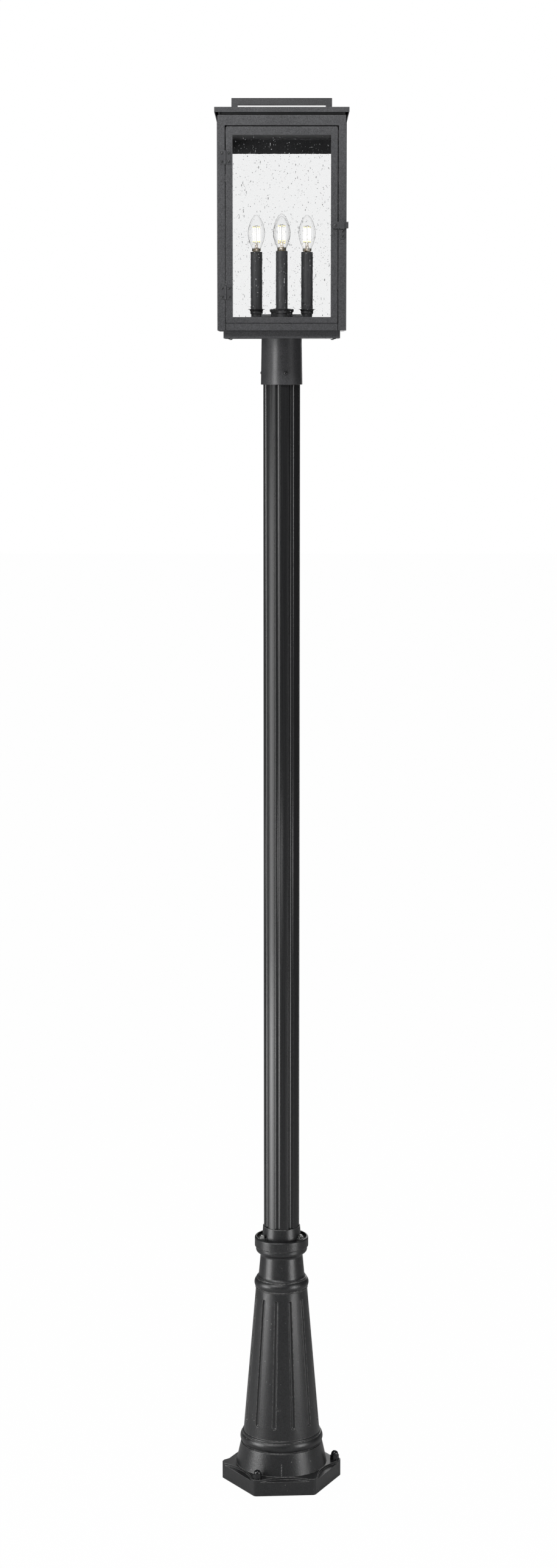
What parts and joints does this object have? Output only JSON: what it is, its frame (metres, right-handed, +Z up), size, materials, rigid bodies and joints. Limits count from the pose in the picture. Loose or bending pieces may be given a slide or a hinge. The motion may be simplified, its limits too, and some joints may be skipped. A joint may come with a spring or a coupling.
{
  "type": "post light",
  "caption": "Outdoor post light: a square glazed lantern with a hinged latched door and candle lamps, on a fluted post and a cast flared base.",
  "frame": {"origin": "on the post's axis, at the underside of the base's foot", "axes": "+Z up along the post, -Y towards the front, where the door is, +X to the right seen from the front"},
  "size_m": [0.27, 0.2783, 2.9444],
  "materials": {
    "lantern_coat": "matte charcoal powder coat with a fine grain",
    "cast_coat": "satin black powder coat on cast aluminium",
    "post_coat": "satin black powder coat on extruded aluminium",
    "fastener_coat": "black coated steel",
    "anchor_metal": "satin black coated steel",
    "seeded_glass": "clear with small trapped bubbles",
    "clear_glass": "clear and smooth",
    "plated_steel": "bright nickel plate",
    "lamp_holder": "off-white phenolic",
    "filament": "yellow phosphor on the filament strips"
  },
  "bodies": {
    "lantern_and_post": {"anchor_cap_nuts": "anchor_metal", "anchor_washers": "anchor_metal", "base_casting": "cast_coat", "bottom_tray": "lantern_coat", "bulb_caps": "plated_steel", "bulb_filaments": "filament", "bulb_glass": "clear_glass", "candle_arms": "lantern_coat", "candle_cups": "lantern_coat", "candle_hub": "lantern_coat", "ceiling_plate": "lantern_coat", "collar_cup": "cast_coat", "fitter_set_screws": "fastener_coat", "fitter_sleeve": "lantern_coat", "flange_studs": "fastener_coat", "floor_pan": "lantern_coat", "fluted_post": "post_coat", "front_candle_sleeve": "lantern_coat", "front_fascia": "lantern_coat", "front_left_post": "lantern_coat", "front_right_post": "lantern_coat", "glazing_clips": "lantern_coat", "hinge_pins": "fastener_coat", "hinge_post_screws": "fastener_coat", "hub_nipple": "plated_steel", "hub_nuts": "plated_steel", "keeper_screws": "fastener_coat", "lamp_sockets": "lamp_holder", "latch_keeper": "lantern_coat", "left_candle_sleeve": "lantern_coat", "left_glass": "seeded_glass", "left_lower_rail": "lantern_coat", "left_upper_rail": "lantern_coat", "lower_hinge_post_leaf": "lantern_coat", "post_socket": "cast_coat", "rear_candle_sleeve": "lantern_coat", "rear_glass": "seeded_glass", "rear_left_post": "lantern_coat", "rear_lower_rail": "lantern_coat", "rear_right_post": "lantern_coat", "rear_upper_rail": "lantern_coat", "right_candle_sleeve": "lantern_coat", "right_glass": "seeded_glass", "right_lower_rail": "lantern_coat", "right_upper_rail": "lantern_coat", "roof_cap": "lantern_coat", "roof_flares": "lantern_coat", "roof_handle": "lantern_coat", "top_frame": "lantern_coat", "tray_screws": "fastener_coat", "upper_hinge_post_leaf": "lantern_coat"},
    "door": {"door_frame": "lantern_coat", "door_glass": "seeded_glass", "door_glass_beads": "lantern_coat", "upper_hinge_door_leaf": "lantern_coat", "lower_hinge_door_leaf": "lantern_coat", "hinge_door_screws": "fastener_coat", "latch_pivot_screw": "fastener_coat"},
    "latch": {"latch_bar": "lantern_coat"}
  },
  "joints": [
    {"name": "door_hinge", "type": "hinge", "parent": "lantern_and_post", "child": "door", "pos_m": [-0.11315, -0.1318, 2.6841], "axis": [0, 0, -1], "range_deg": [0, 150]},
    {"name": "latch_pivot", "type": "hinge", "parent": "door", "child": "latch", "pos_m": [0.1071, -0.1316, 2.6841], "axis": [0, -1, 0], "range_deg": [0, 90]}
  ]
}
